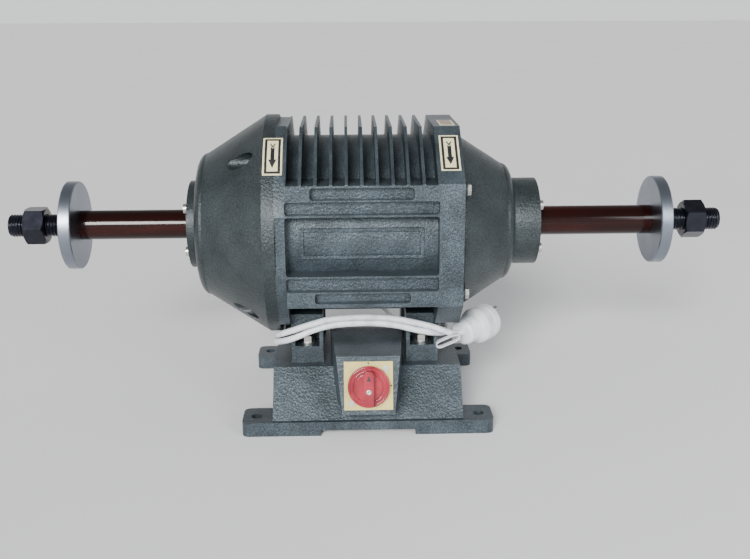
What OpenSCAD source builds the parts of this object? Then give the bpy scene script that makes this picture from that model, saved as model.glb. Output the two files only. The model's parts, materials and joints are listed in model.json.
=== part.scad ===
// Double-ended bench motor for grinding and polishing wheels, on a cast pedestal.
// The spindle runs along X, the switch faces -Y, and the bench is at Z = 0.
// The origin is at the centre of the four base holes, on the underside of the base.

/* [Overall] */
// Height of the spindle axis above the bench
axis_h = 196; // [188:1:240]
// Length of the base across its ears
base_len = 256; // [212:1:310]
// Depth of the base across its ears
base_depth = 227; // [224:1:280]
// Length of the spindle from end to end
spindle_len = 757; // [630:1:910]

/* [Motor casing] */
// Radius of the casing between its fins
core_r = 93; // [86:1:112]
// How far the fins and end bands stand out of the casing
fin_h = 15; // [8:1:24]
// Thickness of one fin
fin_t = 3; // [2:0.5:6]
// Distance from one fin to the next
fin_pitch = 14.8; // [12:0.2:18]
// Gaps between fins
fin_gaps = 10; // [6:1:12]
// Width of the band at the left end
left_band = 10.5; // [8:0.5:20]
// Width of the band at the right end
right_band = 24.5; // [20:0.5:32]
// Half of the height of the flat front pad
pad_half = 61; // [52:1:66]
// Centre of the motor from the centre of the base
motor_x = 2.5; // [-6:0.5:8]

/* [End bells] */
// Radius of the rim of the left bell
left_rim_r = 115; // [108:1:122]
// Depth of the left bell, from the joint to its end face
left_bell_d = 84; // [70:1:100]
// Radius of the rim of the right bell
right_rim_r = 92; // [88:1:98]
// Depth of the right bell, from the joint to its end face
right_bell_d = 59.5; // [50:0.5:80]
// Length of the boss on the right bell
right_boss = 17; // [8:1:26]
// Wall of the bells
bell_wall = 7; // [5:0.5:9]
// Radius of the bearing caps
cap_r = 46; // [44:1:54]
// Thickness of the bearing caps
cap_t = 9; // [8:0.5:14]

/* [Motor] */
// Radius of the stator laminations
stack_r = 80; // [72:1:82]
// Length of the laminations
stack_len = 110; // [90:1:118]
// Radius of the rotor
rotor_r = 46; // [38:1:54]
// Gap between the rotor and the stator
air_gap = 0.6; // [0.4:0.1:1.5]
// Slots in the stator
slot_count = 18; // [12:6:24]

/* [Spindle] */
// Diameter of the spindle ends
thread_d = 24; // [20:1:26]
// Diameter of the spindle in the bearings
journal_d = 30; // [28:1:34]
// Diameter of the spindle in the rotor
body_d = 38; // [36:1:44]
// Outer diameter of the spacer sleeves
sleeve_d = 31; // [30.5:0.5:36]
// Diameter of the wheel flanges
flange_d = 93; // [70:1:120]
// Thickness of the wheel flanges
flange_t = 12.5; // [8:0.5:18]
// Bare thread between a flange and its nut
wheel_room = 23; // [15:1:40]
// Width of the nuts across their flats
nut_af = 36; // [30:1:46]
// Thickness of the nuts
nut_t = 22; // [15:1:28]
// Thread that stands out of each nut
thread_tail = 17; // [8:1:25]

/* [Bearings] */
// Outer diameter of the bearings
bearing_od = 62; // [60:1:72]
// Width of the bearings
bearing_w = 16; // [15:1:20]
// Diameter of the balls
ball_d = 9.5; // [8:0.5:10]
// Balls in each bearing
ball_count = 9; // [7:1:10]

/* [Motor feet] */
// Centre of the left feet along the base
left_foot_x = -62; // [-66:1:-56]
// Centre of the right feet along the base
right_foot_x = 57.5; // [52:0.5:60]
// Width of a foot
foot_w = 33; // [28:1:36]
// Distance from the spindle to the outer face of a foot
foot_reach = 62; // [58:1:66]
// Depth of a foot
foot_depth = 30; // [26:1:32]
// Thickness of the slab under a foot
foot_t = 14; // [10:1:18]
// Height of the nut pocket in a foot
pocket_h = 18; // [16:1:22]
// Diameter of the foot bolts
foot_bolt_d = 8; // [6:1:10]

/* [Base casting] */
// Height of the deck of the pedestal
deck_h = 60; // [54:1:72]
// Height of the pads under the feet
pad_h = 4; // [3:0.5:8]
// Depth of the deck
deck_depth = 148; // [140:1:160]
// Half of the width of the pedestal
wall_x = 97; // [88:1:100]
// Wall of the pedestal
wall_t = 8; // [6:0.5:10]
// Thickness of the ears
ear_t = 15; // [12:1:20]
// Depth of an ear
ear_depth = 38; // [32:1:46]
// Diameter of the holes for the bench bolts
bench_hole_d = 11; // [9:0.5:14]
// Spacing of the bench holes along the base
bench_hole_x = 228; // [200:1:280]
// Spacing of the bench holes across the base
bench_hole_y = 192; // [180:1:240]
// Width of the relief under the front and rear edges
relief_w = 96; // [60:1:120]
// Height of that relief
relief_h = 6; // [4:1:8]

/* [Switch] */
// Lean of the switch panel
panel_tilt = 12; // [5:1:18]
// Width of the switch plate
plate_w = 48; // [42:1:50]
// Thickness of the switch plate
plate_t = 2; // [1.5:0.5:3]
// Diameter of the switch knob
knob_d = 41; // [32:1:44]
// Diameter of the knob spindle
switch_pin_d = 8; // [6:1:10]

/* [Supply lead] */
// Diameter of the supply lead
lead_d = 6.5; // [6:0.5:8]
// Diameter of the plug
plug_d = 38.5; // [36:0.5:42]

/* [Fits] */
// Gap between a nut and the spindle thread
thread_gap = 0.2; // [0.1:0.05:0.4]
// Gap at bolts in their holes
bolt_gap = 0.2; // [0.1:0.05:0.5]
// Gap between turning and standing pieces
run_gap = 0.4; // [0.3:0.1:1]
// Gap round the balls in their grooves
ball_gap = 0.1; // [0.05:0.05:0.3]

/* [Hidden] */
$fn = 0;

// Casing
casing_len = left_band + fin_gaps * fin_pitch + right_band;
left_joint = motor_x - casing_len / 2;
right_joint = motor_x + casing_len / 2;
fins_x = left_joint + left_band;
crown_r = core_r + fin_h;
front_y = core_r + fin_h + 3;
crown_half = 50;
belly_r = core_r + 4;
left_spigot_r = left_rim_r - 25;
right_spigot_r = right_rim_r - 6;
spigot_w = 5;
spigot_d = 4;
bore_r = stack_r;
// Recesses in the front pad: share of the fins' width, lower and upper edge above the axis, depth
front_windows = [
    [0.67, 46, 58, 9], [1, 31.5, 44.5, 9], [1, -29, 29.5, 30], [1, -45, -31, 9], [0.63, -57, -46.5, 9]
];
window_x = fins_x + fin_gaps * fin_pitch / 2;
frame_w = 121;
frame_h = 30;
frame_t = 3;
frame_proud = 2.2;

// Bolts between the casing and the bells
bell_bolt_d = 6;
bell_bolt_af = 10;
bell_bolt_head = 4;
left_bolt_r = left_spigot_r + 10.5;
left_bolt_angle = 50;
left_bolt_seat = 18;
left_bolt_grip = left_band;
left_pocket_r = 8.5;
left_boss_r = 13;
right_bolt_r = right_rim_r + 16;
right_bolt_angle = 29;
right_bolt_grip = 16;
right_lobe_t = 3;
right_lobe_r = 9;
right_lobe_reach = 22;

// Bearings and caps
bearing_r = bearing_od / 2;
journal_r = journal_d / 2;
thread_r = thread_d / 2;
pitch_r = (bearing_r + journal_r) / 2;
race_edge = (bearing_r - journal_r) * 0.34;
spring_w = 2;
cap_spigot = 5;
cap_plate = cap_t + 1.5;
left_seat = left_joint - left_bell_d;
right_seat = right_joint + right_bell_d + right_boss;
left_bearing_x = left_seat + cap_spigot + bearing_w / 2;
right_bearing_x = right_seat - cap_spigot - spring_w - bearing_w / 2;
seal_r = 22;
seal_w = 7;
cap_screw_r = 37;
cap_screw_d = 6;
cap_screw_angle = 38;
cap_screw_grip = 9;
hub_r = cap_r - 2;

// Spindle
spindle_left = motor_x - spindle_len / 2;
spindle_right = motor_x + spindle_len / 2;
left_nut_out = spindle_left + thread_tail;
right_nut_out = spindle_right - thread_tail;
left_flange_out = left_nut_out + nut_t + wheel_room;
right_flange_out = right_nut_out - nut_t - wheel_room;
left_flange_in = left_flange_out + flange_t;
right_flange_in = right_flange_out - flange_t;
shaft_left = left_bearing_x - bearing_w / 2;
shaft_right = right_bearing_x + bearing_w / 2;
sleeve_r = sleeve_d / 2;
flange_r = flange_d / 2;
thread_chamfer = 1.5;

// Slots, winding and rotor cage
slot_in = rotor_r + air_gap + 4;
slot_out = slot_in + 17;
slot_w = 8;
turn_len = 16;
bar_count = 20;
bar_r = 2.6;

// Pedestal
foot_base = deck_h + pad_h;
foot_bridge = 20;
foot_y = foot_reach - foot_depth / 2;
foot_bolt_y = foot_reach - 14;
foot_bolt_af = 13;
foot_top = axis_h - sqrt(core_r * core_r - pow(foot_reach - foot_bridge, 2));
skirt_y = base_depth / 2 - 4.5;
deck_y = deck_depth / 2;
ear_x = base_len / 2;
inner_top = deck_h - wall_t;
conduit_r = 8;
conduit_x = -70;
box_top = 90;
box_low = 30;
box_back = -42;
box_half = 38;
panel_y = -130;
panel_z = 61;
panel_h = 58;
panel_top_x = 31.5;
panel_low_x = 26;
box_wall = 4;
switch_hole_r = 17;
gland_x = 40;
gland_z = 36;
gland_y = 102;
gland_r = 8;
gland_boss_t = 27;
gland_nut_t = 5;
gland_af = 22;
gland_reach = 24;
edge_t = 12;
plate_screw = 17;

// Capacitor under the deck
cap_body_r = 18;
cap_body_len = 78;
cap_body_x = -78;
cap_body_y = 30;
cap_body_z = inner_top - cap_body_r - 4;
clamp_x = [-40, -8];
clamp_screw_d = 4;

// Labels
label_t = 0.3;
label_w = 19;
right_label_len = 47;
right_label_drop = 13;
left_label_up = 59;
left_label_arc = 23;
facet_angle = atan2(crown_r - pad_half, front_y - crown_half);

// Supply lead: gland, up behind the base, twice round the feet, to the plug
lead_route = [
    [40, 88, 36], [40, 126, 36], [39.8, 132.5, 36.2], [38.3, 141, 37.8], [34, 149, 42],
    [26.5, 154.5, 48.5], [16, 156, 56], [3, 152.5, 64], [-10, 143.5, 71], [-25, 130.5, 77],
    [-40, 115.5, 80.5], [-54.5, 97.5, 82], [-69, 80, 81.5], [-82, 65, 80], [-86.5, 57, 79],
    [-88, 48, 78], [-87, 36, 76.7], [-85, 22, 75.7], [-84.5, 8, 75.5], [-84.5, -6, 75.5],
    [-85.8, -16, 75.5], [-89.7, -26, 76], [-93.8, -36, 77], [-95, -45.5, 78.5], [-93, -56, 81.5],
    [-87, -65.5, 85.3], [-77.5, -71.5, 89.8], [-67, -73.5, 94.5], [-56, -73, 99],
    [-38, -71.5, 103.5], [-16, -70, 105], [8, -70, 105], [30, -71.5, 103], [46, -73, 99.5],
    [57, -73, 97], [67.5, -71, 94.5], [77, -64.5, 92], [83, -55.5, 90], [85, -45, 88.5],
    [85, -34, 87.3], [85, -11, 86], [85, 34, 85.5], [85, 45, 85.5], [83, 55.5, 86],
    [77, 64.5, 86.8], [67.5, 71, 87.8], [57, 73, 88.8], [42, 73, 90.1], [24, 72.5, 91],
    [-22, 72, 92], [-42, 72.5, 91.5], [-61, 73.5, 90], [-71.5, 71.5, 89], [-81, 65.3, 87.8],
    [-87, 56.3, 86.3], [-89, 45.5, 84.8], [-87.8, 37, 83.7], [-86, 29.5, 83], [-84.8, 22, 82.7],
    [-84.5, 8, 82.5], [-84.5, -5, 82.5], [-84.5, -16, 82.2], [-85, -24, 82], [-87, -32, 82],
    [-90, -40, 83.3], [-92, -49, 86.5], [-90, -58.5, 90.5], [-84, -68, 95.5],
    [-74.5, -74, 100.3], [-64, -76, 104.5], [-52, -75.5, 108], [-38, -73, 110.7],
    [-16, -71, 112], [8, -71, 112], [30, -71.5, 110], [50, -72.5, 105.7], [66, -73.5, 102],
    [80, -72.5, 96.5], [91, -66.5, 91.3], [99, -58, 89]
];
plug_at = [99, -58, 89];
plug_turn = 48;
plug_lift = 2;
plug_len = 48;
plug_neck = 21;
tie_at = [74, -78, 84];
tie_end = [92, -78, 92];

iron = [0.40, 0.46, 0.49];
dark_iron = [0.30, 0.34, 0.37];
zinc = [0.78, 0.78, 0.76];
black = [0.08, 0.08, 0.11];
lamination = [0.45, 0.45, 0.47];
copper = [0.72, 0.36, 0.18];
steel = [0.66, 0.67, 0.69];
aluminium = [0.78, 0.79, 0.81];
maroon = [0.24, 0.05, 0.03];
white = [0.93, 0.94, 0.95];
cream = [0.93, 0.87, 0.62];
red = [0.78, 0.10, 0.12];
rubber = [0.10, 0.10, 0.10];

// Places its children on the spindle axis, with their Z pointing along +X
module on_axis(x) {
    translate([x, 0, axis_h]) rotate([0, 90, 0]) children();
}

// The same, with their Z pointing along -X
module on_axis_left(x) {
    translate([x, 0, axis_h]) rotate([0, -90, 0]) children();
}

module ring(outer, inner, h) {
    difference() {
        cylinder(r = outer, h = h);
        translate([0, 0, -1]) cylinder(r = inner, h = h + 2);
    }
}

// A flat outline in Y and Z, relative to the axis, drawn along X
module along_x(x, length) {
    translate([x, 0, axis_h]) rotate([90, 0, 90]) linear_extrude(length) children();
}

// Four places at an angle above and below the horizontal, front and rear
module at_four(radius, angle) {
    for (a = [angle, 180 - angle, 180 + angle, -angle])
        rotate([0, 0, a]) translate([0, radius, 0]) children();
}

module hex(af, h) {
    cylinder(d = af / cos(30), h = h, $fn = 6);
}

// Hexagon head on a round shank, with the shank along -Z
module hex_bolt(d, grip, af, head) {
    hex(af, head);
    translate([0, 0, -grip]) cylinder(d = d, h = grip);
}

// Cap screw with a hexagon socket, with the shank along -Z
module socket_screw(d, grip, head_d, head) {
    difference() {
        cylinder(d = head_d, h = head);
        translate([0, 0, head * 0.4]) hex(d * 0.8, head);
    }
    translate([0, 0, -grip]) cylinder(d = d, h = grip);
}

// ---- Motor casing ----

// Outline of the casing in Y and Z
module casing_outline() {
    polygon([
        [crown_half, crown_r], [front_y, pad_half], [front_y, -pad_half],
        [front_y - 31, -pad_half - 27], [crown_half, -belly_r], [-crown_half, -belly_r],
        [31 - front_y, -pad_half - 27], [-front_y, -pad_half], [-front_y, pad_half],
        [-crown_half, crown_r]
    ]);
}

// What the fin gaps take away: all above the pads and outside the core
module gap_outline() {
    difference() {
        translate([-2 * crown_r, pad_half - 1]) square([4 * crown_r, 2 * crown_r]);
        circle(r = core_r);
    }
}

// Hollow between the lower edge of the pads and the core
module belly_outline() {
    difference() {
        translate([-2 * crown_r, -2 * crown_r]) square([4 * crown_r, 2 * crown_r - pad_half]);
        circle(r = core_r);
    }
}

// A recess in the front pad with round corners, as deep as stated or down to the core
module front_window(width, low, high, depth) {
    corner = 3;
    difference() {
        translate([window_x - width / 2, depth - front_y, axis_h])
            rotate([90, 0, 0])
                linear_extrude(depth + 5)
                    hull()
                        for (u = [corner, width - corner], v = [low + corner, high - corner])
                            translate([u, v]) circle(r = corner, $fn = 24);
        on_axis(left_joint - 1) cylinder(r = core_r, h = casing_len + 2);
    }
}

module foot(x, side) {
    y0 = side > 0 ? foot_reach - foot_depth : -foot_reach;
    translate([x - foot_w / 2, y0, foot_base]) cube([foot_w, foot_depth, foot_top - foot_base]);
    translate([x - foot_w / 2, side > 0 ? y0 : foot_bridge - foot_reach, foot_base])
        cube([foot_w, foot_depth - foot_bridge, axis_h - core_r - foot_base + 15]);
}

// Space for the nut in a foot, open to its outer face
module foot_pocket(x, side) {
    width = foot_w - 8;
    depth = foot_depth - 4;
    translate([x - width / 2, side > 0 ? foot_reach - depth : -foot_reach - 1, foot_base + foot_t])
        cube([width, depth + 1, pocket_h]);
    translate([x, side * foot_bolt_y, foot_base - 1])
        cylinder(d = foot_bolt_d + 2 * bolt_gap, h = foot_t + 2);
}

// Blank raised frame in the middle window
module window_frame() {
    root = 5;
    translate([window_x, root - core_r, axis_h]) rotate([90, 0, 0]) linear_extrude(root + frame_proud)
        difference() {
            square([frame_w, frame_h], center = true);
            square([frame_w - 2 * frame_t, frame_h - 2 * frame_t], center = true);
        }
}

module stator_housing() {
    wide = fin_gaps * fin_pitch + 1;
    color(iron) difference() {
        union() {
            difference() {
                intersection() {
                    along_x(left_joint, casing_len) casing_outline();
                    union() {
                        on_axis(left_joint) cylinder(r = left_rim_r, h = left_band);
                        translate([fins_x, -300, 0]) cube([casing_len, 600, 500]);
                    }
                }
                for (i = [0:fin_gaps - 1])
                    along_x(fins_x + i * fin_pitch + fin_t / 2, fin_pitch - fin_t) gap_outline();
                along_x(fins_x, fin_gaps * fin_pitch) belly_outline();
                for (w = front_windows) front_window(wide * w[0], w[1], w[2], w[3]);
            }
            window_frame();
            for (x = [left_foot_x, right_foot_x], side = [-1, 1]) foot(x, side);
        }
        on_axis(left_joint - 1) cylinder(r = bore_r, h = casing_len + 2);
        on_axis(left_joint - 1) cylinder(r = left_spigot_r, h = spigot_d + 1.5);
        on_axis_left(right_joint + 1) cylinder(r = right_spigot_r, h = spigot_d + 1.5);
        on_axis(left_joint - 1)
            at_four(left_bolt_r, left_bolt_angle)
                cylinder(d = bell_bolt_d + 2 * bolt_gap, h = left_band + fin_t + 1);
        on_axis_left(right_joint + 1)
            at_four(right_bolt_r, right_bolt_angle)
                cylinder(d = bell_bolt_d + 2 * bolt_gap, h = right_bolt_grip + 3);
        for (x = [left_foot_x, right_foot_x], side = [-1, 1]) foot_pocket(x, side);
        translate([conduit_x, 0, 0]) cylinder(r = conduit_r, h = axis_h);
    }
}

// ---- End bells ----

// Quarter of an ellipse from a point on the cone round to the end face
function shoulder(r0, z0, r1, z1) =
    [for (t = [0:15:90]) [r1 + (r0 - r1) * cos(t), z0 + (z1 - z0) * sin(t)]];

// Half of a bell, as radius and distance outward from the joint
module bell_section(rim_r, rim_w, cone_r, depth, boss, spigot, gap) {
    seat = depth + boss;
    lip = seat - cap_spigot - gap - bearing_w;
    polygon(concat(
        [[spigot - spigot_w, -spigot_d], [spigot, -spigot_d], [spigot, 0],
         [rim_r, 0], [rim_r, rim_w]],
        shoulder(cone_r, depth - 9, cone_r - 14, depth),
        [[cap_r, depth], [cap_r, seat], [bearing_r, seat], [bearing_r, lip],
         [bearing_r - 4, lip], [bearing_r - 4, lip - 4], [hub_r, lip - 4],
         [hub_r, depth - bell_wall - 2], [cone_r - 14, depth - bell_wall - 2],
         [cone_r - bell_wall, depth - bell_wall - 9],
         [spigot - spigot_w, rim_w + 2]]
    ));
}

module left_end_bell() {
    rim_w = 12;
    cone_r = left_rim_r - 2 - (left_bell_d - 9 - rim_w) * 0.6;
    boss_depth = left_bolt_seat + 8;
    color(dark_iron) on_axis_left(left_joint) difference() {
        union() {
            rotate_extrude() bell_section(left_rim_r, rim_w, cone_r, left_bell_d, 0, left_spigot_r, 0);
            intersection() {
                at_four(left_bolt_r, left_bolt_angle) cylinder(r = left_boss_r, h = boss_depth);
                cylinder(r1 = left_rim_r + 6, r2 = left_rim_r - 9.5, h = boss_depth);
                cylinder(r = left_rim_r, h = boss_depth);
            }
        }
        at_four(left_bolt_r, left_bolt_angle) {
            translate([0, 0, left_bolt_seat]) cylinder(r = left_pocket_r, h = left_bell_d);
            translate([0, 0, -1]) cylinder(d = bell_bolt_d + 2 * bolt_gap, h = left_bell_d);
        }
        cap_screw_holes(left_bell_d);
    }
}

module right_end_bell() {
    rim_w = 4;
    cone_r = right_rim_r - 1 - (right_bell_d - 9 - rim_w) * 0.62;
    seat = right_bell_d + right_boss;
    color(dark_iron) on_axis(right_joint) difference() {
        union() {
            rotate_extrude()
                bell_section(right_rim_r, rim_w, cone_r, right_bell_d, right_boss, right_spigot_r,
                    spring_w);
            at_four(right_bolt_r, right_bolt_angle) {
                cylinder(r = right_lobe_r, h = right_lobe_t);
                translate([-right_lobe_r, -right_lobe_reach, 0])
                    cube([2 * right_lobe_r, right_lobe_reach, right_lobe_t]);
            }
        }
        at_four(right_bolt_r, right_bolt_angle) translate([0, 0, -1])
            cylinder(d = bell_bolt_d + 2 * bolt_gap, h = right_lobe_t + 2);
        cap_screw_holes(seat);
    }
}

module cap_screw_holes(seat) {
    at_four(cap_screw_r, cap_screw_angle) translate([0, 0, seat - cap_screw_grip - 2])
        cylinder(d = cap_screw_d + 2 * bolt_gap, h = cap_screw_grip + 3);
}

// Cap with a spigot that holds the bearing and a pocket for the shaft seal
module bearing_cap() {
    difference() {
        union() {
            cylinder(r = cap_r, h = cap_plate);
            translate([0, 0, -cap_spigot]) cylinder(r = bearing_r, h = cap_spigot + 1);
        }
        translate([0, 0, -cap_spigot - 1]) cylinder(r = seal_r + 3, h = cap_spigot + 1);
        translate([0, 0, -1]) cylinder(r = seal_r, h = seal_w + 1);
        translate([0, 0, -1]) cylinder(r = sleeve_r + run_gap + 0.6, h = cap_t + 4);
        at_four(cap_screw_r, cap_screw_angle)
            translate([0, 0, -1]) cylinder(d = cap_screw_d + 2 * bolt_gap, h = cap_t + 4);
    }
}

module left_bearing_cap() {
    color(dark_iron) on_axis_left(left_seat) bearing_cap();
}

module right_bearing_cap() {
    color(dark_iron) on_axis(right_seat) bearing_cap();
}

module left_bell_bolts() {
    color(dark_iron) on_axis_left(left_joint - left_bolt_seat)
        at_four(left_bolt_r, left_bolt_angle)
            hex_bolt(bell_bolt_d, left_bolt_seat + left_bolt_grip, bell_bolt_af, bell_bolt_head);
}

module right_bell_bolts() {
    color(zinc) on_axis(right_joint + right_lobe_t)
        at_four(right_bolt_r, right_bolt_angle)
            hex_bolt(bell_bolt_d, right_lobe_t + right_bolt_grip, bell_bolt_af, bell_bolt_head);
}

module cap_screws() {
    at_four(cap_screw_r, cap_screw_angle) translate([0, 0, cap_plate])
        socket_screw(cap_screw_d, cap_plate + cap_screw_grip, 10, 4);
}

module left_cap_screws() {
    color(zinc) on_axis_left(left_seat) cap_screws();
}

module right_cap_screws() {
    color(zinc) on_axis(right_seat) cap_screws();
}

// ---- Stator, rotor and bearings ----

// Slots of the stator, running past the laminations at both ends
module slots(past) {
    for (i = [0:slot_count - 1])
        rotate([0, 0, i * 360 / slot_count]) translate([slot_in, -slot_w / 2, -past])
            cube([slot_out - slot_in, slot_w, stack_len + 2 * past]);
}

module stator_core() {
    color(lamination) on_axis(motor_x - stack_len / 2) difference() {
        ring(stack_r, rotor_r + air_gap, stack_len);
        slots(1);
    }
}

// Copper in every slot, joined by a round bundle of end turns at each side
module stator_winding() {
    bevel = 3;
    color(copper) on_axis(motor_x - stack_len / 2) {
        slots(bevel);
        for (end = [0, 1]) translate([0, 0, end * stack_len]) mirror([0, 0, 1 - end]) rotate_extrude()
            polygon([
                [slot_in - bevel, 0.2], [slot_out + bevel, 0.2], [slot_out + bevel, turn_len - bevel],
                [slot_out, turn_len], [slot_in, turn_len], [slot_in - bevel, turn_len - bevel]
            ]);
    }
}

module outer_race() {
    difference() {
        ring(bearing_r, bearing_r - race_edge, bearing_w);
        translate([0, 0, bearing_w / 2]) rotate_extrude()
            translate([pitch_r, 0]) circle(d = ball_d + 2 * ball_gap);
    }
}

module inner_race() {
    difference() {
        ring(journal_r + race_edge, journal_r, bearing_w);
        translate([0, 0, bearing_w / 2]) rotate_extrude()
            translate([pitch_r, 0]) circle(d = ball_d + 2 * ball_gap);
    }
}

// Balls held in a cage, as one turning set
module ball_set() {
    cage_w = 11;
    cage_t = 1.6;
    translate([0, 0, (bearing_w - cage_w) / 2]) ring(pitch_r + cage_t / 2, pitch_r - cage_t / 2, cage_w);
    for (i = [0:ball_count - 1])
        rotate([0, 0, i * 360 / ball_count]) translate([pitch_r, 0, bearing_w / 2])
            sphere(d = ball_d);
}

module left_outer_race() {
    color(steel) on_axis(left_bearing_x - bearing_w / 2) outer_race();
}

module right_outer_race() {
    color(steel) on_axis(right_bearing_x - bearing_w / 2) outer_race();
}

module left_inner_race() {
    color(steel) on_axis(left_bearing_x - bearing_w / 2) inner_race();
}

module right_inner_race() {
    color(steel) on_axis(right_bearing_x - bearing_w / 2) inner_race();
}

module left_ball_set() {
    color(steel) on_axis(left_bearing_x - bearing_w / 2) ball_set();
}

module right_ball_set() {
    color(steel) on_axis(right_bearing_x - bearing_w / 2) ball_set();
}

// Spring washer between the right cap and the right bearing
module preload_spring() {
    color(steel) on_axis(right_bearing_x + bearing_w / 2)
        ring(bearing_r - 0.3, seal_r + 3.5, spring_w);
}

module shaft_seal() {
    ring(seal_r, sleeve_r + 0.1, seal_w);
}

module left_shaft_seal() {
    color(rubber) on_axis_left(left_seat) shaft_seal();
}

module right_shaft_seal() {
    color(rubber) on_axis(right_seat) shaft_seal();
}

// ---- Spindle ----

module spindle_shaft() {
    end_r = thread_r - thread_chamfer;
    body_left = left_bearing_x + bearing_w / 2;
    body_right = right_bearing_x - bearing_w / 2;
    color(black) on_axis(0) rotate_extrude() polygon([
        [0, spindle_left], [end_r, spindle_left], [thread_r, spindle_left + thread_chamfer],
        [thread_r, shaft_left], [journal_r, shaft_left], [journal_r, body_left],
        [body_d / 2, body_left], [body_d / 2, body_right], [journal_r, body_right],
        [journal_r, shaft_right], [thread_r, shaft_right],
        [thread_r, spindle_right - thread_chamfer], [end_r, spindle_right], [0, spindle_right]
    ]);
}

module cage_bars(gap) {
    for (i = [0:bar_count - 1])
        rotate([0, 0, i * 360 / bar_count]) translate([rotor_r - bar_r - 1.5, 0, 0])
            cylinder(r = bar_r + gap, h = stack_len);
}

module rotor_core() {
    color(lamination) on_axis(motor_x - stack_len / 2) difference() {
        ring(rotor_r, body_d / 2, stack_len);
        cage_bars(0);
    }
}

// Aluminium bars in the rotor, joined by a ring at each end
module rotor_cage() {
    ring_t = 10;
    color(aluminium) on_axis(motor_x - stack_len / 2) {
        cage_bars(0);
        for (z = [-ring_t, stack_len]) translate([0, 0, z])
            ring(rotor_r - 0.5, rotor_r - 12, ring_t);
    }
}

module left_sleeve() {
    color(maroon) on_axis(left_flange_in)
        ring(sleeve_r, thread_r, shaft_left - left_flange_in);
}

module right_sleeve() {
    color(maroon) on_axis(shaft_right)
        ring(sleeve_r, thread_r, right_flange_in - shaft_right);
}

// Wheel flange, dished on the side that meets the wheel
module wheel_flange() {
    dish = 1.5;
    edge = 1;
    rotate_extrude() polygon([
        [thread_r, 0], [flange_r - edge, 0], [flange_r, edge], [flange_r, flange_t - edge],
        [flange_r - edge, flange_t], [flange_r * 0.62, flange_t],
        [flange_r * 0.62 - dish, flange_t - dish], [thread_r, flange_t - dish]
    ]);
}

module left_flange() {
    color(aluminium) on_axis_left(left_flange_in) wheel_flange();
}

module right_flange() {
    color(aluminium) on_axis(right_flange_in) wheel_flange();
}

// Hexagon nut with both faces turned to a cone
module spindle_nut() {
    corner_r = nut_af / 2 / cos(30);
    difference() {
        intersection() {
            hex(nut_af, nut_t);
            rotate_extrude() polygon([
                [0, 0], [nut_af / 2 - 0.5, 0], [corner_r + 0.1, 2], [corner_r + 0.1, nut_t - 2],
                [nut_af / 2 - 0.5, nut_t], [0, nut_t]
            ]);
        }
        translate([0, 0, -1]) cylinder(r = thread_r + thread_gap, h = nut_t + 2);
    }
}

module left_nut() {
    color(black) on_axis(left_nut_out) rotate([0, 0, 30]) spindle_nut();
}

module right_nut() {
    color(black) on_axis_left(right_nut_out) spindle_nut();
}

// ---- Pedestal ----

// Side view of the pedestal above the base, in Y and Z
module pedestal_side(inset, top) {
    slope = (skirt_y - deck_y) / (deck_h - ear_t);
    lean = slope * (deck_h - top);
    low = inset > 0 ? -1 : 0;
    polygon([
        [-skirt_y + inset, low], [-skirt_y + inset, ear_t], [-deck_y - lean + inset, top],
        [deck_y + lean - inset, top], [skirt_y - inset, ear_t], [skirt_y - inset, low]
    ]);
}

module pedestal_block(half_x, inset, top) {
    translate([-half_x, 0, 0]) rotate([90, 0, 90]) linear_extrude(2 * half_x)
        pedestal_side(inset, top);
}

// Places its children on the leaning switch panel, with Z out of the panel
module on_panel() {
    translate([0, panel_y, panel_z]) rotate([90 - panel_tilt, 0, 0]) children();
}

// Hump that carries the switch, as a block from the panel back into the pedestal
module switch_box(inset) {
    hull() {
        on_panel() translate([0, 0, -2 - inset]) linear_extrude(2)
            polygon([
                [inset - panel_low_x, inset - panel_h / 2], [panel_low_x - inset, inset - panel_h / 2],
                [panel_top_x - inset, panel_h / 2 - inset], [inset - panel_top_x, panel_h / 2 - inset]
            ]);
        translate([inset - box_half, box_back - 2 - inset, box_low])
            cube([2 * (box_half - inset), 2, box_top - box_low - inset]);
    }
}

module ear(sx, sy) {
    corner = 7;
    x0 = wall_x - wall_t / 2;
    translate([sx > 0 ? x0 : -ear_x, sy > 0 ? base_depth / 2 - ear_depth : -base_depth / 2, 0])
        linear_extrude(ear_t) union() {
            translate([sx > 0 ? 0 : corner, 0]) square([ear_x - x0 - corner, ear_depth]);
            translate([sx > 0 ? ear_x - x0 - corner : corner, corner]) circle(r = corner);
            translate([sx > 0 ? ear_x - x0 - corner : corner, ear_depth - corner]) circle(r = corner);
            translate([0, corner]) square([ear_x - x0, ear_depth - 2 * corner]);
        }
}

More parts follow.
